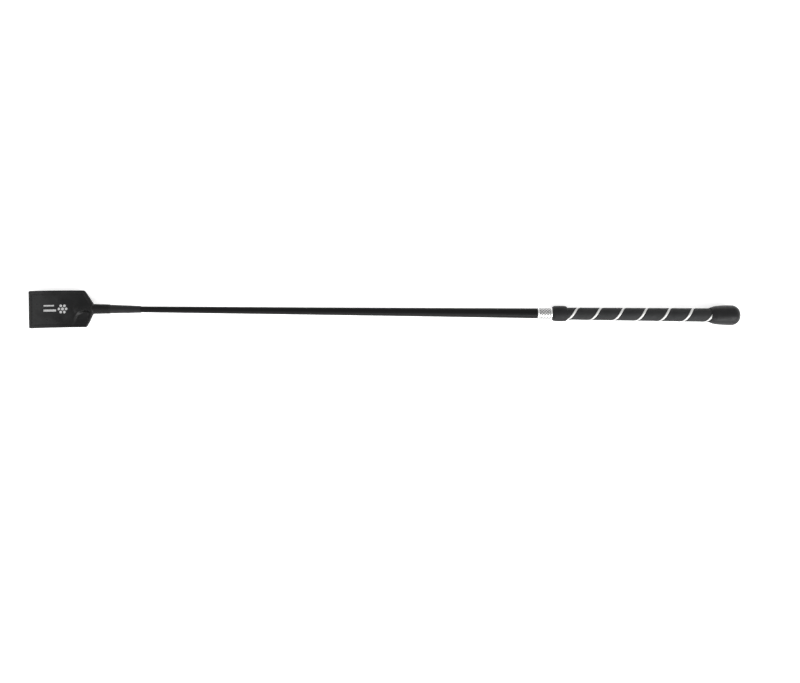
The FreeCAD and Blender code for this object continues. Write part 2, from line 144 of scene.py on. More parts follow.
def grid_faces(rows, columns, wrap_rows=False, wrap_columns=False):
    """Quads of a grid whose vertices are numbered row by row."""
    faces = []
    for i in range(rows if wrap_rows else rows - 1):
        for j in range(columns if wrap_columns else columns - 1):
            a = i * columns + j
            b = i * columns + (j + 1) % columns
            c = ((i + 1) % rows) * columns + (j + 1) % columns
            d = ((i + 1) % rows) * columns + j
            faces.append((a, b, c, d))
    return faces


def face_outwards(piece):
    """Makes the faces of a closed mesh look outwards."""
    shape = bmesh.new()
    shape.from_mesh(piece.data)
    bmesh.ops.recalc_face_normals(shape, faces=shape.faces)
    shape.to_mesh(piece.data)
    shape.free()


def weld(piece):
    """Joins vertices that lie on each other."""
    shape = bmesh.new()
    shape.from_mesh(piece.data)
    bmesh.ops.remove_doubles(shape, verts=shape.verts, dist=SAME_POINT)
    bmesh.ops.recalc_face_normals(shape, faces=shape.faces)
    shape.to_mesh(piece.data)
    shape.free()


def keep_between(piece, low_x, high_x):
    """Cuts a closed mesh off square at both x and closes the cuts."""
    shape = bmesh.new()
    shape.from_mesh(piece.data)
    for x, direction in ((low_x, -1), (high_x, 1)):
        cut = bmesh.ops.bisect_plane(
            shape,
            geom=shape.verts[:] + shape.edges[:] + shape.faces[:],
            plane_co=(x, 0, 0),
            plane_no=(direction, 0, 0),
            clear_outer=True,
        )
        edges = [item for item in cut["geom_cut"] if isinstance(item, bmesh.types.BMEdge)]
        bmesh.ops.edgenet_fill(shape, edges=edges)
    bmesh.ops.recalc_face_normals(shape, faces=shape.faces)
    shape.to_mesh(piece.data)
    shape.free()


def store_height(piece, heights):
    """Keeps each vertex's relief, from 0 in the recesses to 1 on top, from which the materials paint shade
    into the recesses.
    """
    attribute = piece.data.attributes.new("relief", "FLOAT", "POINT")
    attribute.data.foreach_set("value", np.asarray(heights, dtype=np.float32).ravel())


def turned(name, profile, segments, relief=None):
    """A closed ring turned about the X axis.

    profile is a closed loop of (x, radius). relief(x, angle) gives how far each point moves
    outwards, for all points at once.
    """
    xs = np.array([p[0] for p in profile])[:, None]
    radii = np.array([p[1] for p in profile])[:, None]
    angles = (np.arange(segments) * TAU / segments)[None, :]
    lift = np.zeros((len(profile), segments))
    if relief is not None:
        lift = relief(xs, angles)
    r = radii + lift
    points = np.stack([xs + 0 * r, r * np.cos(angles), r * np.sin(angles)], axis=-1)
    run = np.concatenate([[0], np.cumsum(np.hypot(np.diff(xs[:, 0]), np.diff(radii[:, 0])))])
    widest = radii.max()
    uvs = np.stack(np.broadcast_arrays(run[:, None], angles * widest), axis=-1)
    piece = add_object(
        name,
        points.reshape(-1, 3),
        grid_faces(len(profile), segments, wrap_rows=True, wrap_columns=True),
        uvs.reshape(-1, 2),
    )
    face_outwards(piece)
    store_height(piece, lift / max(TINY, lift.max()))
    return piece


def smooth_step(t):
    """Rises smoothly from 0 to 1 as t does, and stays level outside that."""
    t = np.clip(t, 0, 1)
    return t * t * (3 - 2 * t)


def arc_points(centre, radius, start, end, count):
    """Points on an arc in the (x, radius) half plane, angles in degrees."""
    angles = np.radians(np.linspace(start, end, count))
    return [(centre[0] + radius * math.cos(a), centre[1] + radius * math.sin(a)) for a in angles]


def value_noise(seed, *axes):
    """Smooth noise from -1 to 1 made of a few sine waves, the same on every run."""
    waves = 6
    random = np.random.default_rng(seed)
    total = 0
    for _ in range(waves):
        wave = random.uniform(-1, 1, len(axes))
        phase = sum(w * TAU * a for w, a in zip(wave, axes))
        total = total + np.sin(phase + random.uniform(0, TAU))
    return total / waves


# ------------------------------------------------------------------------------- materials

def new_material(name, base_color, roughness, metallic=0.0, specular=0.5):
    """A Principled material, and its node tree and shader."""
    material = bpy.data.materials.new(name)
    material.use_nodes = True
    tree = material.node_tree
    shader = tree.nodes["Principled BSDF"]
    shader.inputs["Base Color"].default_value = (*base_color, 1)
    shader.inputs["Roughness"].default_value = roughness
    shader.inputs["Metallic"].default_value = metallic
    shader.inputs["Specular IOR Level"].default_value = specular
    return material, tree, shader


def coordinates(tree, space, scale):
    """A mapped coordinate: space is UV or Object, and scale stretches it along its axes."""
    source = tree.nodes.new("ShaderNodeTexCoord")
    mapping = tree.nodes.new("ShaderNodeMapping")
    mapping.inputs["Scale"].default_value = scale
    tree.links.new(source.outputs[space], mapping.inputs["Vector"])
    return mapping.outputs["Vector"]


def noise(tree, vector, scale, detail=3.0, roughness=0.55):
    """Cloudy noise from 0 to 1, scale times finer than a metre."""
    node = tree.nodes.new("ShaderNodeTexNoise")
    node.inputs["Scale"].default_value = scale
    node.inputs["Detail"].default_value = detail
    node.inputs["Roughness"].default_value = roughness
    tree.links.new(vector, node.inputs["Vector"])
    return node.outputs["Fac"]


def cells(tree, vector, scale, smoothness=0.4):
    """The rounded pebbles of a leather or rubber grain."""
    node = tree.nodes.new("ShaderNodeTexVoronoi")
    node.feature = "SMOOTH_F1"
    node.inputs["Scale"].default_value = scale
    node.inputs["Smoothness"].default_value = smoothness
    tree.links.new(vector, node.inputs["Vector"])
    return node.outputs["Distance"]


def ramp(tree, factor, low, high, low_at=0.3, high_at=0.7):
    """Goes from one value to the other as the factor rises."""
    node = tree.nodes.new("ShaderNodeMapRange")
    node.inputs["From Min"].default_value = low_at
    node.inputs["From Max"].default_value = high_at
    node.inputs["To Min"].default_value = low
    node.inputs["To Max"].default_value = high
    tree.links.new(factor, node.inputs["Value"])
    return node.outputs["Result"]


def colour_ramp(tree, factor, low, high, low_at=0.3, high_at=0.7):
    """Goes from one colour to the other as the factor rises."""
    node = tree.nodes.new("ShaderNodeValToRGB")
    node.color_ramp.elements[0].position = low_at
    node.color_ramp.elements[0].color = (*low, 1)
    node.color_ramp.elements[1].position = high_at
    node.color_ramp.elements[1].color = (*high, 1)
    tree.links.new(factor, node.inputs["Fac"])
    return node.outputs["Color"]


def relief_of(tree):
    """The relief that store_height kept on the mesh."""
    node = tree.nodes.new("ShaderNodeAttribute")
    node.attribute_name = "relief"
    return node.outputs["Fac"]


def bump(tree, shader, layers):
    """Chains bumps: each layer is (height output, distance in metres)."""
    normal = None
    for height, distance in layers:
        node = tree.nodes.new("ShaderNodeBump")
        node.inputs["Strength"].default_value = 1.0
        node.inputs["Distance"].default_value = distance
        tree.links.new(height, node.inputs["Height"])
        if normal is not None:
            tree.links.new(normal, node.inputs["Normal"])
        normal = node.outputs["Normal"]
    tree.links.new(normal, shader.inputs["Normal"])


def grained(name, dark, light, roughness, grain_scale, grain_depth, specular=0.5, painted_sheen_span=None):
    """Leather or rubber: mottled colour, uneven polish and a pebbled grain.

    The last argument, a pair of x, paints a sheen: the base colour gets paler from the second x to the
    first.
    """
    material, tree, shader = new_material(name, dark, roughness[0], specular=specular)
    place = coordinates(tree, "UV", (1, 1, 1))
    patches = noise(tree, place, 90, detail=4)
    # Painted sheen: the base colour is shifted paler towards the first x and darker towards and past the
    # second.
    if painted_sheen_span:
        split = tree.nodes.new("ShaderNodeSeparateXYZ")
        tree.links.new(coordinates(tree, "Object", (1, 1, 1)), split.inputs["Vector"])
        added = tree.nodes.new("ShaderNodeMath")
        added.operation = "ADD"
        tree.links.new(patches, added.inputs[0])
        paler = ramp(tree, split.outputs["X"], 0.3, -0.3, *painted_sheen_span)
        tree.links.new(paler, added.inputs[1])
        patches = added.outputs["Value"]
    tree.links.new(colour_ramp(tree, patches, dark, light), shader.inputs["Base Color"])
    tree.links.new(ramp(tree, noise(tree, place, 220), *roughness), shader.inputs["Roughness"])
    grain = cells(tree, place, grain_scale)
    pores = noise(tree, place, grain_scale * 2.2, detail=2)
    bump(tree, shader, [(grain, grain_depth), (pores, grain_depth * 0.5)])
    return material


def make_leather():
    # The leather's base colour carries a painted sheen, paler towards the free end.
    return grained(
        "keeper_leather", (0.0012, 0.0013, 0.0014), (0.0110, 0.0112, 0.0114), roughness=(0.26, 0.36),
        grain_scale=1500, grain_depth=0.06 * MM, specular=0.22, painted_sheen_span=(TIP_X, NECK_X - 8 * MM))


def make_collar_rubber():
    return grained(
        "collar_rubber", (0.005, 0.005, 0.0055), (0.010, 0.010, 0.011), roughness=(0.45, 0.6),
        grain_scale=4000, grain_depth=0.02 * MM, specular=0.18)


def make_cap_rubber():
    return grained(
        "cap_rubber", (0.004, 0.004, 0.0045), (0.008, 0.008, 0.0085), roughness=(0.34, 0.5),
        grain_scale=4500, grain_depth=0.015 * MM, specular=0.21)


def make_tape_rubber():
    return grained(
        "grip_rubber", (0.010, 0.0105, 0.011), (0.018, 0.0185, 0.019), roughness=(0.5, 0.65),
        grain_scale=2400, grain_depth=0.07 * MM, specular=0.17)


def make_sleeve_plastic():
    return grained(
        "tail_sleeve", (0.007, 0.007, 0.0075), (0.013, 0.013, 0.0135), roughness=(0.42, 0.55),
        grain_scale=3500, grain_depth=0.01 * MM, specular=0.19)


def make_nylon():
    """Braided strands, with painted shade: darker in the gaps between them."""
    material, tree, shader = new_material("nylon_braid", (0.004, 0.004, 0.0045), 0.42, specular=0.13)
    place = coordinates(tree, "UV", (1, 1, 1))
    # Painted shade: the base colour darkens in the recesses between the strands.
    colour = colour_ramp(tree, relief_of(tree), (0.0015, 0.0015, 0.0015), (0.006, 0.006, 0.0065), 0.1, 0.9)
    tree.links.new(colour, shader.inputs["Base Color"])
    tree.links.new(ramp(tree, noise(tree, place, 500), 0.36, 0.5), shader.inputs["Roughness"])
    bump(tree, shader, [(noise(tree, place, 3500, detail=2), 0.03 * MM)])
    return material


def make_thread():
    """Waxed thread, with painted shade: darker between its plies."""
    material, tree, shader = new_material("waxed_thread", (0.006, 0.006, 0.0065), 0.5, specular=0.18)
    place = coordinates(tree, "UV", (1, 1, 1))
    # Painted shade: the base colour darkens in the grooves between the plies.
    colour = colour_ramp(tree, relief_of(tree), (0.003, 0.003, 0.003), (0.010, 0.010, 0.0105), 0.1, 0.9)
    tree.links.new(colour, shader.inputs["Base Color"])
    bump(tree, shader, [(noise(tree, place, 4000, detail=2), 0.03 * MM)])
    return material


def make_metal():
    """Bright metal with painted shade in its recesses."""
    material, tree, shader = new_material("embossed_metal", (0.80, 0.80, 0.79), 0.22, metallic=1.0)
    place = coordinates(tree, "UV", (1, 1, 1))
    # Painted shade: the base colour darkens in the recesses of the embossing.
    colour = colour_ramp(tree, relief_of(tree), (0.30, 0.30, 0.30), (0.86, 0.86, 0.85), 0.05, 0.7)
    tree.links.new(colour, shader.inputs["Base Color"])
    tree.links.new(ramp(tree, noise(tree, place, 900), 0.16, 0.34), shader.inputs["Roughness"])
    bump(tree, shader, [(noise(tree, place, 1800, detail=3), 0.02 * MM)])
    return material


def make_cord_material():
    """Silvery cord, with painted shade: darker lower down in the channel and between its plies."""
    material, tree, shader = new_material("piping_cord", (0.50, 0.50, 0.50), 0.38, metallic=0.25)
    place = coordinates(tree, "UV", (1, 1, 1))
    # Painted shade: the base colour darkens where the cord lies low.
    colour = colour_ramp(tree, relief_of(tree), (0.22, 0.22, 0.22), (0.52, 0.52, 0.51), 0.1, 0.8)
    tree.links.new(colour, shader.inputs["Base Color"])
    bump(tree, shader, [(noise(tree, place, 3000, detail=2), 0.04 * MM)])
    return material


def make_ink():
    """Pale printing ink, slightly worn."""
    material, tree, shader = new_material("printed_mark", (0.50, 0.50, 0.50), 0.45)
    place = coordinates(tree, "Object", (1, 1, 1))
    colour = colour_ramp(tree, noise(tree, place, 1600), (0.22, 0.22, 0.22), (0.50, 0.50, 0.50))
    tree.links.new(colour, shader.inputs["Base Color"])
    return material


def make_glass_fibre():
    """Resin with fibres along the rod."""
    material, tree, shader = new_material("glass_fibre", (0.45, 0.42, 0.30), 0.4)
    place = coordinates(tree, "Object", (4, 600, 600))
    colour = colour_ramp(tree, noise(tree, place, 3), (0.36, 0.33, 0.22), (0.55, 0.52, 0.40))
    tree.links.new(colour, shader.inputs["Base Color"])
    return material


def make_moulded_plastic():
    material, tree, shader = new_material("moulded_plastic", (0.03, 0.03, 0.03), 0.5)
    place = coordinates(tree, "Object", (1, 1, 1))
    bump(tree, shader, [(noise(tree, place, 1500), 0.03 * MM)])
    return material


MATERIALS = {
    "leather": make_leather(),
    "collar": make_collar_rubber(),
    "cap": make_cap_rubber(),
    "tape": make_tape_rubber(),
    "sleeve": make_sleeve_plastic(),
    "braid": make_nylon(),
    "thread": make_thread(),
    "metal": make_metal(),
    "cord": make_cord_material(),
    "ink": make_ink(),
    "glass_fibre": make_glass_fibre(),
    "plastic": make_moulded_plastic(),
}


def finish_piece(piece, material, slot, body, *nodes):
    """Gives the piece its material, its body and the CAD nodes that it stands for; the slot argument is
    not used.

    A piece that rides on a body later, or on none, gets no body here.
    """
    piece.data.materials.clear()
    piece.data.materials.append(MATERIALS[material])
    if nodes:
        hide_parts(*nodes)
    if body:
        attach(piece, body)


# --------------------------------------------------------------------------- the leather keeper

# outline
TIP_SLANT = 1.0 * MM
CORNER_ROUND = 1.2 * MM
SHOULDER_ROUND = 1.6 * MM
SHOULDER_LENGTHS = {1: 7.9 * MM, -1: 6.3 * MM}
SLOPE_END_X = NECK_X - 0.5 * MM
NECK_HALF = 4.9 * MM
SIDE_LEAN = 1.4 * MM

# edge and pressed border line
EDGE_ROUND = 0.55 * MM
CREASE_INSET = 3.0 * MM
CREASE_WIDTH = 0.38 * MM
CREASE_DEPTH = 0.22 * MM
EDGE_SWELL = 0.06 * MM
SWELL_INSET = 1.6 * MM
SWELL_WIDTH = 0.7 * MM
LAYER_GAP = 0.02 * MM

# bends
TIP_CURL = 1.7 * MM
CURL_LENGTH = 18 * MM
WAVE_HEIGHT = 0.25 * MM
LOWER_DENT = 1.9 * MM
UPPER_DENT = 0.5 * MM

# neck: the leather and the binding round it
THREAD = 0.8 * MM
TAIL_WALL = 1.0 * MM
SLEEVE_WALL = 0.37 * MM
NECK_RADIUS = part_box("neck_whipping")[1].z - THREAD
NECK_END_RADIUS = radius_at("tail_sleeve", SLEEVE_X + 0.1 * MM) - SLEEVE_WALL


def shoulder(side):
    """x of the shoulder's corner on this side, and how steeply the edge falls behind it."""
    length = SHOULDER_LENGTHS[side]
    return SLOPE_END_X - length, (ROOT_HALF - NECK_HALF) / length


def outline_half(x, side):
    """Half the keeper's width at x: straight sides, rounded shoulders, slopes to the neck."""
    corner_x, fall = shoulder(side)
    straight = BLADE_HALF + (ROOT_HALF - BLADE_HALF) * (x - TIP_X) / (corner_x - TIP_X)
    slope = ROOT_HALF - (x - corner_x) * fall
    # A smooth minimum of the side and the slope rounds the shoulder's corner.
    gap = np.clip(0.5 + 0.5 * (slope - straight) / SHOULDER_ROUND, 0, 1)
    blade = slope * (1 - gap) + straight * gap - SHOULDER_ROUND * gap * (1 - gap)
    neck = NECK_RADIUS + (NECK_END_RADIUS - NECK_RADIUS) * (x - NECK_X) / (WHIPPING_END_X - NECK_X)
    into_neck = smooth_step((x - NECK_X + 0.3 * MM) / (0.8 * MM))
    return blade * (1 - into_neck) + neck * into_neck


def width_at(x, y):
    """Half the keeper's width at x, on the side that y is on."""
    return np.where(y < 0, outline_half(x, -1), outline_half(x, 1))


def lean(x):
    """How far the keeper has bent sideways at x."""
    return -SIDE_LEAN * np.clip((NECK_X - x) / (NECK_X - TIP_X), 0, 1) ** 1.7


def free_end(s):
    """x of the keeper's free end at s, from -1 to 1 across it: slightly slanted, rounded corners."""
    slant = TIP_X + TIP_SLANT * (1 - s) / 2
    past = np.clip(np.abs(s) * BLADE_HALF - (BLADE_HALF - CORNER_ROUND), 0, CORNER_ROUND)
    return slant + CORNER_ROUND - np.sqrt(CORNER_ROUND**2 - past**2)


def edge_distance(x, y):
    """Distance from the keeper's outline, measured inwards, in front of the neck."""
    across = np.full(np.broadcast(x, y).shape, np.inf)
    for side in (1, -1):
        corner_x, fall = shoulder(side)
        sloping = smooth_step((x - corner_x + 1.0 * MM) / (2 * MM))
        inward = (outline_half(x, side) - side * y) / np.sqrt(1 + (sloping * fall) ** 2)
        across = np.minimum(across, inward)
    along = x - free_end(y / BLADE_HALF)
    return np.maximum(np.minimum(across, along), 0)


def sag(x, y):
    """How far the leather's middle surface lies off the flat: its bends and dents."""
    blade = smooth_step((NECK_X - 1 * MM - x) / (10 * MM))
    tip_curl = TIP_CURL * smooth_step((TIP_X + CURL_LENGTH - x) / CURL_LENGTH) ** 1.5
    waves = WAVE_HEIGHT * value_noise(3, x / (34 * MM), y / (30 * MM))
    # The thread holds the leather flat at the neck, so the dents end in front of it.
    held = smooth_step((NECK_X - 0.8 * MM - x) / (5 * MM))
    # The wall of the dent on the -Y side curves from beside the rod to the keeper's edge, where
    # the dent is open and shallower.
    dent_x, dent_y = NECK_X - 6.0 * MM, -6.9 * MM
    slanted = x - dent_x - 0.3 * np.minimum(y + 5 * MM, 0)
    lower_ring = np.hypot(slanted / (10.0 * MM), np.maximum(y - dent_y, 0) / (5.0 * MM))
    shallower = 1 - 0.5 * smooth_step((-y - 9 * MM) / (8 * MM))
    lower_dent = LOWER_DENT * shallower * smooth_step((1.15 - lower_ring) / 0.5)
    # The dent on the +Y side is a faint oval.
    upper_ring = np.hypot((x - NECK_X + 5.0 * MM) / (8 * MM), (y - 7.8 * MM) / (6 * MM))
    upper_dent = UPPER_DENT * smooth_step((1.2 - upper_ring) / 0.9)
    return blade * (waves - tip_curl) - held * (lower_dent + upper_dent)


def rod_bulge(x, y):
    """How far the leather stands off the middle where it passes over the rod."""
    # The leather starts to rise this far in front of the rod's tip, over this length.
    before_tip, rise = 8.0 * MM, 5.5 * MM
    tip = smooth_step((x - ROD_TIP_X + before_tip) / rise)
    into_neck = smooth_step((x - ROD_TIP_X) / (NECK_X - ROD_TIP_X))
    height = (NECK_RADIUS - LEATHER - 0.5 * MM * (1 - into_neck)) * tip
    width = (2.3 + 0.6 * into_neck) * MM
    return height / (1 + (y / width) ** 2) ** 1.5


def leather_faces(x, y):
    """Heights of the upper layer's inner and outer faces over the middle plane."""
    rim = edge_distance(x, y)
    round_off = np.sqrt(1 - (1 - np.clip(rim / EDGE_ROUND, 0, 1)) ** 2)
    crease = CREASE_DEPTH * np.exp(-(((rim - CREASE_INSET) / CREASE_WIDTH) ** 2))
    crease = crease * smooth_step((NECK_X - 2 * MM - x) / (2 * MM))
    swell = EDGE_SWELL * np.exp(-(((rim - SWELL_INSET) / SWELL_WIDTH) ** 2))
    middle = LEATHER / 2 + LAYER_GAP
    half = (LEATHER / 2) * round_off
    bulge = rod_bulge(x, y)
    outer = middle + half - crease + swell * round_off + bulge
    inner = middle - half + bulge * 0.9
    # At the neck the layer becomes a half tube round the braid.
    reach = width_at(x, y)
    tube_outer = np.sqrt(np.clip(reach**2 - y**2, 0, None))
    tube_inner = np.sqrt(np.clip((reach - TAIL_WALL) ** 2 - y**2, 0, None))
    to_tube = smooth_step((x - NECK_X + 1.2 * MM) / (1.8 * MM))
    outer = outer * (1 - to_tube) + tube_outer * to_tube
    inner = inner * (1 - to_tube) + np.minimum(tube_inner, tube_outer) * to_tube
    return inner, outer


def leather_height(x, y, side):
    """Height of the keeper's outer face: side is 1 on top and -1 underneath."""
    return side * leather_faces(x, y)[1] + sag(x, y)


def make_leather_layer(name, side, nodes):
    """One leather layer in one piece, from the keeper's free end to its tail under the thread."""
    columns = 97
    # The columns are closer together at the sides, and the rows at the free end.
    even = np.linspace(-1, 1, columns)
    s = np.sin(even * math.pi / 2) * 0.35 + even * 0.65
    edge_rows = np.array([0, 0.2, 0.5, 1.0, 2.0, 4.0]) * EDGE_ROUND / 4
    blade_rows = np.linspace(EDGE_ROUND * 1.3, NECK_X + 2 * MM - TIP_X, 190)
    tail_rows = np.linspace(NECK_X + 3 * MM - TIP_X, WHIPPING_END_X - TIP_X, 8)
    steps = np.concatenate([edge_rows, blade_rows, tail_rows])
    u = (steps / (WHIPPING_END_X - TIP_X))[:, None]
    start = free_end(s)[None, :]
    x = start + (WHIPPING_END_X - start) * u
    y = s[None, :] * width_at(x, s[None, :])
    inner, outer = leather_faces(x, y)
    drop = sag(x, y)
    top = np.stack([x, y + lean(x), side * outer + drop], axis=-1)
    bottom = np.stack([x, y + lean(x), side * inner + drop], axis=-1)
    # Each row is a loop over the outer face and back over the inner one.
    loops = np.concatenate([top, bottom[:, -2:0:-1]], axis=1)
    rows, ring = loops.shape[:2]
    faces = grid_faces(rows, ring, wrap_columns=True)
    # The last row's loop is closed with a strip between its outer and inner points.
    last = (rows - 1) * ring
    faces.append((last, last + ring - 1, last + 1))
    for j in range(1, columns - 2):
        left, right = last + j, last + j + 1
        under_left, under_right = last + ring - j, last + ring - j - 1
        faces.append((left, under_left, under_right, right))
    faces.append((last + columns - 2, last + columns, last + columns - 1))
    uvs = loops[..., :2].copy()
    # The inner face takes its grain from another place than the outer one.
    uvs[:, columns:, 1] += 80 * MM
    piece = add_object(name, loops.reshape(-1, 3), faces, uvs.reshape(-1, 2))
    weld(piece)
    finish_piece(piece, "leather", "keeper_leather", None, *nodes)
    return piece


STITCH_PITCH = 3.4 * MM
STITCH_LENGTH = 2.5 * MM
STITCH_RADIUS = 0.3 * MM
# Each stitch lies a little askew, and its two ends dip into their holes.
STITCH_SKEW = 0.18 * MM
STITCH_DIP = 0.28 * MM


def stitch_path():
    """Corners of the stitch line, round the blade and down both shoulders."""
    inset = CREASE_INSET
    # The line ends this much short of the neck.
    short = 1.2 * MM
    corners = []
    for side in (1, -1):
        corner_x, fall = shoulder(side)
        angle = math.atan(fall)
        inner_x = corner_x - inset * (1 - math.cos(angle)) / math.sin(angle)
        neck_x = SLOPE_END_X - inset * math.sin(angle) - short
        neck_y = NECK_HALF - inset * math.cos(angle) + short * fall
        tip_x = free_end(side) + inset - CORNER_ROUND
        line = [(neck_x, neck_y), (inner_x, ROOT_HALF - inset), (tip_x, BLADE_HALF - inset)]
        corners.append([(x, side * y) for x, y in line])
    return corners[0] + corners[1][::-1]


def make_stitch(middle, heading, aside, side, run):
    """Points, faces, reliefs and UVs of one stitch on the side +1 or -1 of the leather.

    middle, heading and aside are (x, y); run is the distance along the row of stitches.
    """
    around, along = 8, 7
    points, reliefs, uvs = [], [], []
    for t in np.linspace(-1, 1, along):
        place = middle + heading * (t * STITCH_LENGTH / 2) + aside * (t * STITCH_SKEW)
        size = STITCH_RADIUS * math.sqrt(max(0.04, 1 - abs(t) ** 3))
        height = leather_height(place[0], place[1], side)
        centre_z = height + side * (STITCH_RADIUS * 0.1 - STITCH_DIP * abs(t) ** 3)
        for k in range(around):
            a = k * TAU / around
            ply = 0.10 * math.cos(3 * a + t * 9)
            across = aside * (size * (1 + ply) * math.cos(a))
            points.append((
                place[0] + across[0],
                place[1] + across[1] + lean(place[0]),
                centre_z + size * (1 + ply) * math.sin(a),
            ))
            reliefs.append((0.10 + ply) * 5)
            uvs.append((t * STITCH_LENGTH / 2 + run, a * STITCH_RADIUS))
    faces = grid_faces(along, around, wrap_columns=True)
    faces.append(tuple(range(around)))
    faces.append(tuple((along - 1) * around + k for k in reversed(range(around))))
    return points, faces, reliefs, uvs


def make_stitches():
    """Lock stitches in the crease, on both faces of the keeper."""
    vertices, faces, reliefs, uvs = [], [], [], []
    corners = stitch_path()
    for (x0, y0), (x1, y1) in zip(corners, corners[1:]):
        run = math.hypot(x1 - x0, y1 - y0)
        count = int(run / STITCH_PITCH)
        heading = np.array([(x1 - x0) / run, (y1 - y0) / run])
        aside = np.array([-heading[1], heading[0]])
        spare = (run - count * STITCH_PITCH) / 2
        for index in range(count):
            middle = np.array([x0, y0]) + heading * (spare + (index + 0.5) * STITCH_PITCH)
            for side in (1, -1):
                first = len(vertices)
                stitch = make_stitch(middle, heading, aside, side, index * STITCH_PITCH)
                vertices += stitch[0]
                faces += [tuple(first + n for n in face) for face in stitch[1]]
                reliefs += stitch[2]
                uvs += stitch[3]
    piece = add_object("keeper_stitches", vertices, faces, uvs)
    face_outwards(piece)
    store_height(piece, reliefs)
    finish_piece(piece, "thread", "thread", None, "keeper_stitching", "root_stitching")
    return piece


# The printed mark is this thick, and reaches this far into the leather.
PRINT_THICKNESS = 0.07 * MM
PRINT_SINK = 0.05 * MM


def draped_patch(outline):
    """Vertices and faces of a thin flat shape laid on the keeper's upper face.

    outline(u, v) maps the unit square to (x, y).
    """
    rows, columns = 14, 14
    vertices = []
    for rise in (PRINT_THICKNESS, -PRINT_SINK):
        for i in range(rows):
            for j in range(columns):
                x, y = outline(i / (rows - 1), j / (columns - 1))
                vertices.append((x, y + lean(x), leather_height(x, y, 1) + rise))
    size = rows * columns
    faces = grid_faces(rows, columns)
    faces += [tuple(size + n for n in reversed(f)) for f in grid_faces(rows, columns)]
    rim = list(range(columns))
    rim += [i * columns + columns - 1 for i in range(1, rows)]
    rim += [(rows - 1) * columns + j for j in range(columns - 2, -1, -1)]
    rim += [i * columns for i in range(rows - 2, 0, -1)]
    for a, b in zip(rim, rim[1:] + rim[:1]):
        faces.append((b, a, size + a, size + b))
    return vertices, faces


def make_printed_mark():
    """A plain generic mark: two bars beside a rosette of seven dots."""
    middle_x, middle_y = TIP_X + 25.5 * MM, 0.9 * MM
    bars_x = middle_x - 10.5 * MM
    rosette_x, rosette_y = middle_x + 6.9 * MM, middle_y - 0.9 * MM
    rosette_radius = 3.3 * MM
    vertices, faces = [], []

    def add(outline):
        new_vertices, new_faces = draped_patch(outline)
        faces.extend(tuple(len(vertices) + n for n in face) for face in new_faces)
        vertices.extend(new_vertices)

    def add_bar(y, length, width):
        add(lambda u, v: (bars_x + u * length, middle_y + y + (v - 0.5) * width))

    def add_dot(x, y, radius):
        def disc(u, v):
            # The unit square's rings become the disc's circles.
            a, b = 2 * u - 1, 2 * v - 1
            return x + radius * a * math.sqrt(1 - b * b / 2), y + radius * b * math.sqrt(1 - a * a / 2)
        add(disc)

    add_bar(2.2 * MM, 9.5 * MM, 1.3 * MM)
    add_bar(-2.2 * MM, 11.5 * MM, 1.9 * MM)
    add_dot(rosette_x, rosette_y, 1.35 * MM)
    petals = 6
    for petal in range(petals):
        angle = petal * TAU / petals
        x = rosette_x + rosette_radius * math.cos(angle)
        y = rosette_y + rosette_radius * math.sin(angle)
        add_dot(x, y, 1.2 * MM)
    piece = add_object("printed_mark", vertices, faces)
    face_outwards(piece)
    finish_piece(piece, "ink", "piping_cord", None)
    return piece


def make_keeper():
    """The leather, its stitches and its mark."""
    upper = make_leather_layer("keeper_upper_leather", 1, ("keeper_front", "keeper_root_front"))
    lower = make_leather_layer("keeper_lower_leather", -1, ("keeper_back", "keeper_root_back"))
    stitches = make_stitches()
    mark = make_printed_mark()
    for piece in (upper, lower, stitches):
        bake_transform(piece)
    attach(mark, "keeper")


# ------------------------------------------------------------------------------------ the neck

def make_whipping():
    """Three-ply thread wound round the neck, thinner at its two ends."""
    thread = THREAD / 2
    pitch = THREAD + 0.03 * MM
    plies, ply_lay = 3, 1.5 * MM
    per_turn, around = 40, 12
    first, last = NECK_X + thread, WHIPPING_END_X - thread
    turns = (last - first) / pitch
    count = int(turns * per_turn)
    s = np.linspace(0, 1, count)
    angle = -s * turns * TAU
    x = first + (last - first) * s
    inner = np.interp(x, [NECK_X, WHIPPING_END_X], [NECK_RADIUS, NECK_END_RADIUS])
    wander = 0.05 * MM * value_noise(11, s * turns * 0.9, s * 3)
    centre = inner + thread * 1.02 + wander
    a = (np.arange(around) * TAU / around)[None, :]
    run = s * turns * TAU * NECK_RADIUS
    ply = np.cos(plies * a + run[:, None] / ply_lay * TAU)
    size = thread * (1.02 + 0.05 * ply)
    ends = np.minimum(1, np.minimum(s, 1 - s)[:, None] * count / 4 + 0.1)
    size = size * np.sqrt(ends)
    r = centre[:, None] + size * np.sin(a)
    points = np.stack([
        x[:, None] + size * np.cos(a),
        r * np.cos(angle)[:, None],
        r * np.sin(angle)[:, None],
    ], axis=-1)
    faces = grid_faces(count, around, wrap_columns=True)
    faces.append(tuple(range(around)))
    faces.append(tuple((count - 1) * around + k for k in reversed(range(around))))
    uvs = np.stack(np.broadcast_arrays(run[:, None], a * thread), axis=-1)
    piece = add_object("neck_thread", points.reshape(-1, 3), faces, uvs.reshape(-1, 2))
    face_outwards(piece)
    store_height(piece, (ply + 1) / 2)
    finish_piece(piece, "thread", "thread", "whip", "neck_whipping")


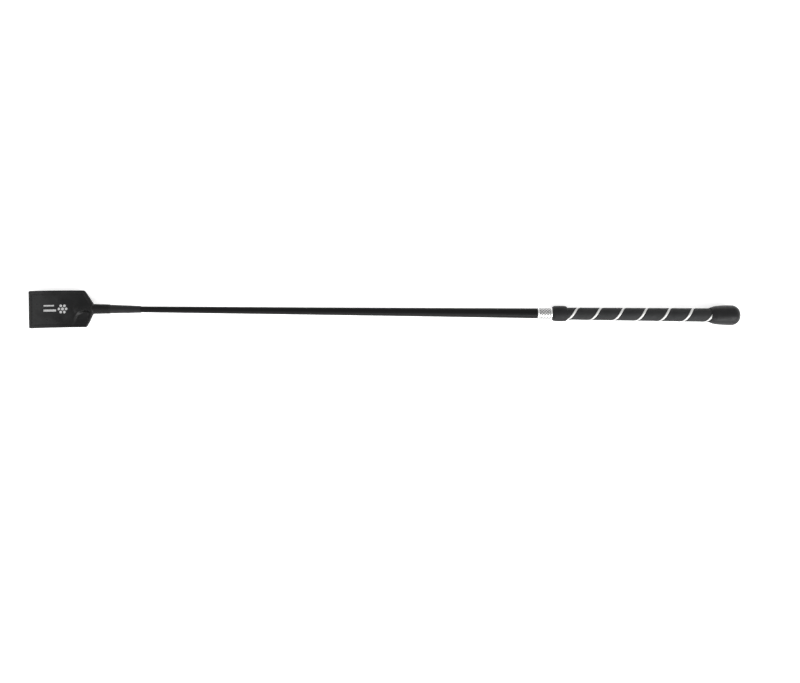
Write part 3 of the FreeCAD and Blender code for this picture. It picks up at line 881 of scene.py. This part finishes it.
def make_sleeve():
    """Shrunk sleeve: it follows the pared tails' ends and shows faint rings."""
    rows = 200
    ring_height, ring_pitch = 0.035 * MM, 0.62 * MM
    xs = np.linspace(SLEEVE_X, SLEEVE_END_X, rows)
    outer = cone("tail_sleeve", SLEEVE_X + 0.1 * MM, SLEEVE_END_X - 0.1 * MM)(xs)
    inner = cone("shaft_braid", SLEEVE_X, SLEEVE_END_X)(xs) - 0.05 * MM
    profile = [(x, r) for x, r in zip(xs, outer)]
    profile[0] = (xs[0], outer[0] - 0.25 * MM)
    profile[-1] = (xs[-1], outer[-1] - 0.22 * MM)
    profile += [(xs[-1], inner[-1]), (xs[0], inner[0])]

    def relief(x, angle):
        on_outside = np.arange(len(profile))[:, None] < rows
        rings = ring_height * np.sin(TAU * x / ring_pitch)
        over_tails = 0.096 * MM * smooth_step((TAIL_END_X - x) / (3 * MM))
        uneven = 0.05 * MM * value_noise(21, x / (11 * MM), np.cos(angle), np.sin(angle))
        return on_outside * (rings + over_tails + uneven)

    piece = turned("tail_sleeve_skin", profile, 48, relief)
    finish_piece(piece, "sleeve", "sleeve", "whip", "tail_sleeve")


# ----------------------------------------------------------------------------------- the shaft

def shaft_radius(x):
    """Radius over the braid: a smooth curve close to the CAD shaft's two tapers."""
    stations = np.linspace(BRAID_X + 1 * MM, COLLAR_X - 14 * MM, 9)
    radii = [radius_at("shaft_braid", station) for station in stations]
    return np.polyval(np.polyfit(stations, radii, 3), x)


def make_braid():
    """The braided jacket: two sets of strands, one each way round, over and under each other."""
    strands, lay = 16, 40 * MM
    rows, segments = 1000, 96
    bead, wall = 0.11 * MM, 0.55 * MM
    xs = np.linspace(BRAID_X, BRAID_END_X, rows)
    outer = shaft_radius(xs)
    profile = [(x, r) for x, r in zip(xs, outer)]
    profile += [(xs[-1], outer[-1] - wall), (xs[0], outer[0] - wall)]
    on_outside = np.arange(len(profile))[:, None] < rows

    def relief(x, angle):
        one = strands * (angle / TAU + x / lay)
        other = strands * (angle / TAU - x / lay)
        over = (np.floor(one) + np.floor(other)) % 2 == 0
        across = np.where(over, one, other) % 1
        along = np.where(over, other, one) % 1
        # A strand is round across, and dives under its neighbours at both ends of each crossing.
        strand = np.sqrt(np.clip(1 - (2 * across - 1) ** 2, 0, 1))
        dive = np.sin(math.pi * along) ** 0.4
        return on_outside * bead * (strand * dive - 0.6)

    piece = turned("braided_jacket", profile, segments, relief)
    finish_piece(piece, "braid", "braid", "whip", "shaft_braid")


# ---------------------------------------------------------------------------------- the handle

grip_surface = cone("grip_tape", TAPE_X + 0.05 * MM, TAPE_END_X - 0.05 * MM)


def make_ferrule():
    """Pressed metal ferrule: a bead at each end and a band of raised diamonds."""
    rows = 110
    diamonds, diamond_length = 12, 2.6 * MM
    bead_height, diamond_height = 0.14 * MM, 0.17 * MM
    side = radius_at("ferrule", COLLAR_X)
    xs = np.linspace(FERRULE_X, FERRULE_END_X, rows)
    inner = shaft_radius(xs) - 0.1 * MM
    profile = [(x, side) for x in xs]
    profile += [(xs[-1], inner[-1]), (xs[0], inner[0])]
    band = (FERRULE_X + 2.0 * MM, COLLAR_X - 1.4 * MM)

    def relief(x, angle):
        on_outside = np.arange(len(profile))[:, None] < rows
        bead = np.exp(-(((x - FERRULE_X - 0.8 * MM) / (0.5 * MM)) ** 2))
        bead = bead + np.exp(-(((x - COLLAR_X + 0.7 * MM) / (0.4 * MM)) ** 2))
        one = diamonds * angle / TAU + x / diamond_length
        other = diamonds * angle / TAU - x / diamond_length
        lattice = np.abs(np.sin(math.pi * one)) * np.abs(np.sin(math.pi * other))
        inside = smooth_step((x - band[0]) / (0.5 * MM)) * smooth_step((band[1] - x) / (0.5 * MM))
        rolled = -0.15 * MM * (1 - smooth_step((x - FERRULE_X) / (0.35 * MM)))
        raised = bead_height * bead + diamond_height * (lattice - 0.45) * inside
        return on_outside * (raised + rolled)

    piece = turned("embossed_ferrule", profile, 144, relief)
    finish_piece(piece, "metal", "ferrule_metal", "whip", "ferrule")


def make_collar():
    """Rubber collar, a short barrel with soft rims and a faint mould line."""
    side = radius_at("front_collar", (COLLAR_X + COLLAR_END_X) / 2)
    bore = radius_at("ferrule", COLLAR_X) - 0.1 * MM
    bore_rear = grip_surface(COLLAR_END_X) - 0.15 * MM
    front_round, rear_round = 2.7 * MM, 2.3 * MM
    profile = [(COLLAR_X + 0.15 * MM, bore)]
    profile += arc_points((COLLAR_X + front_round, side - front_round), front_round, 175, 90, 14)
    start, end = COLLAR_X + front_round, COLLAR_END_X - rear_round
    straight = np.linspace(start, end, 30)[1:-1]
    crown = 0.25 * MM * np.sin(math.pi * (straight - start) / (end - start))
    profile += list(zip(straight, side + crown))
    profile += arc_points((end, side - rear_round), rear_round, 90, 25, 12)
    outside = len(profile)
    profile += [(COLLAR_END_X - 0.1 * MM, bore_rear), (COLLAR_X + 6 * MM, bore_rear - 0.6 * MM)]

    order = np.arange(len(profile))[:, None]
    on_outside = (order > 2) & (order < outside)

    def relief(x, angle):
        mould_line = 0.05 * MM * np.exp(-((np.sin(angle / 2 - 0.9) / 0.012) ** 2))
        around = (np.cos(angle) * 1.2, np.sin(angle) * 1.2)
        uneven = 0.07 * MM * value_noise(31, x / (9 * MM), *around)
        return on_outside * (mould_line + uneven - 0.03 * MM)

    piece = turned("rubber_collar", profile, 96, relief)
    finish_piece(piece, "collar", "collar_rubber", "whip", "front_collar")


PIPING_PITCH = 21 * MM
PIPING_WIDTH = 2.3 * MM
CHANNEL_WIDTH = 2.6 * MM
TAPE_WALL = 0.9 * MM
GRIP_RADIUS = 6.1 * MM
# Behind the collar the piping first crosses the top here. The winding starts one turn and three
# quarters before that, on the +Y side and in front of the tape, and ends past the tape's end.
PIPING_CREST = 5.1 * MM
WINDING_X = COLLAR_END_X + PIPING_CREST - 1.75 * PIPING_PITCH
WINDING_TURNS = (TAPE_END_X + 4 * MM - WINDING_X) / PIPING_PITCH


def wound(name, section, per_turn):
    """A closed band wound left-handed about the X axis from WINDING_X.

    section(run, x) gives the loop's offsets along the axis and its radii, for one station.
    """
    count = int(WINDING_TURNS * per_turn)
    loops = []
    uvs = []
    for index in range(count):
        angle = index / per_turn * TAU
        x = WINDING_X + PIPING_PITCH * index / per_turn
        run = angle * GRIP_RADIUS
        offsets, radii = section(run, x)
        loops.append(np.stack([x + offsets, radii * np.cos(-angle), radii * np.sin(-angle)], axis=-1))
        length = np.concatenate([[0], np.cumsum(np.hypot(np.diff(offsets), np.diff(radii)))])
        uvs.append(np.stack([np.full(len(offsets), run), length], axis=-1))
    ring = loops[0].shape[0]
    faces = grid_faces(count, ring, wrap_columns=True)
    faces.append(tuple(range(ring)))
    faces.append(tuple((count - 1) * ring + k for k in reversed(range(ring))))
    return add_object(name, np.concatenate(loops), faces, np.concatenate(uvs))


def make_grip_tape():
    """Rubber tape wound on the handle, its edges rolled down to the piping's channel."""
    width = PIPING_PITCH - CHANNEL_WIDTH
    edge, edge_drop = 0.5 * MM, 0.42 * MM
    across = np.concatenate([
        np.linspace(0, edge, 6)[:-1],
        np.linspace(edge, width - edge, 22),
        np.linspace(width - edge, width, 6)[1:],
    ])

    def section(run, x):
        offsets = CHANNEL_WIDTH / 2 + across
        to_edge = np.minimum(across, width - across)
        drop = edge_drop * (1 - np.sqrt(1 - (1 - np.clip(to_edge / edge, 0, 1)) ** 2))
        crown = 0.06 * MM * np.exp(-((to_edge - 1.0 * MM) / (0.6 * MM)) ** 2)
        uneven = 0.07 * MM * value_noise(41, run / (17 * MM), across / (12 * MM))
        outer = grip_surface(x + offsets) - drop + crown + uneven - 0.04 * MM
        inner = grip_surface(x + offsets[[-1, 0]]) - TAPE_WALL
        return np.concatenate([offsets, offsets[[-1, 0]]]), np.concatenate([outer, inner])

    piece = wound("wound_grip_tape", section, per_turn=56)
    face_outwards(piece)
    keep_between(piece, TAPE_X, TAPE_END_X)
    finish_piece(piece, "tape", "grip_rubber", "whip", "grip_tape")


def make_piping():
    """Flat two-ply cord in the channel."""
    around = 16
    a = np.arange(around) * TAU / around
    half_height, ply_height, ply_lay = 0.36 * MM, 0.12 * MM, 1.5 * MM

    def section(run, x):
        ply = np.abs(np.sin(math.pi * run / ply_lay + 1.9 * np.cos(a)))
        base = grip_surface(x) - TAPE_WALL + half_height + 0.12 * MM
        flat = np.sign(np.sin(a)) * np.abs(np.sin(a)) ** 0.8
        offsets = PIPING_WIDTH / 2 * np.cos(a)
        radii = base + (half_height + ply_height * (ply - 0.6)) * flat
        return offsets, radii

    piece = wound("spiral_piping", section, per_turn=120)
    face_outwards(piece)
    keep_between(piece, TAPE_X, TAPE_END_X)
    # The cord's height above the channel's floor, which its material turns into painted shade lower down.
    points = np.array([v.co for v in piece.data.vertices])
    above = np.hypot(points[:, 1], points[:, 2]) - (grip_surface(points[:, 0]) - TAPE_WALL)
    store_height(piece, np.clip(above / TAPE_WALL, 0, 1))
    finish_piece(piece, "cord", "piping_cord", "whip", "grip_piping")


def make_cap():
    """Rubber cap: a lip that closes on the grip, a flared side, and a soft end with creases."""
    side = radius_at("butt_cap", CAP_END_X - 7.5 * MM)
    lip = radius_at("butt_cap", CAP_X + 0.02 * MM)
    shoulder_x, shoulder_r = CAP_X + 4.5 * MM, side - 0.75 * MM
    wide_x = CAP_X + 15.5 * MM
    end_round = 7 * MM
    mouth = grip_surface(CAP_X) - 0.15 * MM
    # One smooth line through the lip, the shoulder and the side.
    knots = [
        (CAP_X, lip - 0.1 * MM),
        (CAP_X + 1.8 * MM, lip + 0.75 * MM),
        (shoulder_x, shoulder_r - 0.05 * MM),
        (shoulder_x + 4.5 * MM, shoulder_r + 0.4 * MM),
        (wide_x, side - 0.02 * MM),
        (CAP_END_X - end_round, side),
    ]
    fine_x = np.linspace(CAP_X, CAP_END_X - end_round, 46)
    fine_r = np.interp(fine_x, *np.transpose(knots))
    kernel = np.array([1, 2, 3, 2, 1]) / 9
    fine_r[2:-2] = np.convolve(fine_r, kernel, mode="valid")
    profile = [(CAP_X + 0.1 * MM, mouth)]
    profile += list(zip(fine_x, fine_r))
    profile += arc_points((CAP_END_X - end_round, side - end_round), end_round, 88, 12, 22)
    profile += [(CAP_END_X - 0.02 * MM, 1.6 * MM), (CAP_END_X, 0.6 * MM), (CAP_END_X, 0.05 * MM)]
    outside = len(profile)
    profile += [(CAP_END_X - 2.4 * MM, 0.05 * MM), (CAP_X + 6 * MM, mouth - 0.1 * MM)]

    order = np.arange(len(profile))[:, None]
    on_outside = (order > 1) & (order < outside - 3)

    def relief(x, angle):
        start = smooth_step((x - CAP_X - 5 * MM) / (9 * MM))
        stop = smooth_step((CAP_END_X - 1.0 * MM - x) / (4 * MM))
        around = (np.cos(angle), np.sin(angle))
        creases = value_noise(51, 3.0 * around[0], 3.0 * around[1], x / (80 * MM))
        fine = value_noise(52, 8.0 * around[0], 8.0 * around[1], x / (50 * MM))
        uneven = value_noise(53, x / (30 * MM), *around)
        lift = start * stop * (0.16 * creases + 0.14 * fine) + 0.08 * uneven - 0.1
        return on_outside * MM * lift

    piece = turned("rubber_cap", profile, 128, relief)
    finish_piece(piece, "cap", "cap_rubber", "whip", "butt_cap")


def paint_hidden_nodes():
    """The CAD pieces inside the shaft and the handle keep their shape and get a material."""
    hidden = {"core_rod": "glass_fibre", "handle_former": "plastic", "butt_knob": "plastic"}
    for node, material in hidden.items():
        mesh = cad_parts[node].data
        mesh.materials.clear()
        mesh.materials.append(MATERIALS[material])


# --------------------------------------------------------------------------------- the studio

def make_floor():
    """A plain pale floor that reaches nearly to the horizon of a low view."""
    material, tree, shader = new_material("studio_floor", (0.93, 0.93, 0.93), 0.9, specular=0.1)
    place = coordinates(tree, "Object", (1, 1, 1))
    tree.links.new(
        colour_ramp(tree, noise(tree, place, 3), (0.92, 0.92, 0.92), (0.94, 0.94, 0.94)),
        shader.inputs["Base Color"])
    # A little light of its own keeps the floor as white as in an overexposed studio picture.
    shader.inputs["Emission Color"].default_value = (1, 1, 1, 1)
    shader.inputs["Emission Strength"].default_value = 0.4
    reach = 30
    corners = [(-reach, -reach, 0), (reach, -reach, 0), (reach, reach, 0), (-reach, reach, 0)]
    floor = add_object("floor", corners, [(0, 1, 2, 3)])
    floor.location.z = FLOOR_Z
    floor.data.materials.append(material)


def add_light(name, location, size, power):
    """A soft rectangular light that looks at the crop's middle."""
    data = bpy.data.lights.new(name, "AREA")
    data.shape = "RECTANGLE"
    data.size, data.size_y = size
    data.energy = power
    light = bpy.data.objects.new(name, data)
    light.location = location
    light.rotation_euler = (-Vector(location)).to_track_quat("-Z", "Y").to_euler()
    bpy.context.scene.collection.objects.link(light)


def light_studio():
    """A white surround, with low soft lights on the -Y side, past the keeper and past the butt."""
    add_light("key", (0.5, -1.8, 0.9), (2.2, 0.9), 36)
    add_light("side", (-1.4, -0.3, 1.2), (0.7, 0.9), 3)
    add_light("butt", (1.4, -0.9, 1.3), (0.8, 0.8), 22)
    world = bpy.data.worlds.new("studio")
    world.use_nodes = True
    background = world.node_tree.nodes["Background"]
    background.inputs["Color"].default_value = (1, 1, 1, 1)
    background.inputs["Strength"].default_value = 0.85
    bpy.context.scene.world = world
    bpy.context.scene.view_settings.view_transform = "Standard"


CAMERA_PLACE = (15.5 * MM, -27 * MM, 715 * MM)
CAMERA_ROLL = math.radians(0.58)
CAMERA_LENS = 35.2


def add_camera():
    """Looks straight down at the crop, turned so that the butt lies a little lower."""
    data = bpy.data.cameras.new("camera")
    data.lens = CAMERA_LENS
    data.sensor_width = 36
    data.clip_start = 0.01
    data.clip_end = 20
    camera = bpy.data.objects.new("camera", data)
    camera.location = CAMERA_PLACE
    camera.rotation_euler = Euler((0, 0, CAMERA_ROLL))
    bpy.context.scene.collection.objects.link(camera)
    bpy.context.scene.camera = camera


make_keeper()
make_whipping()
make_sleeve()
make_braid()
make_ferrule()
make_collar()
make_grip_tape()
make_piping()
make_cap()
paint_hidden_nodes()
make_floor()
light_studio()
add_camera()
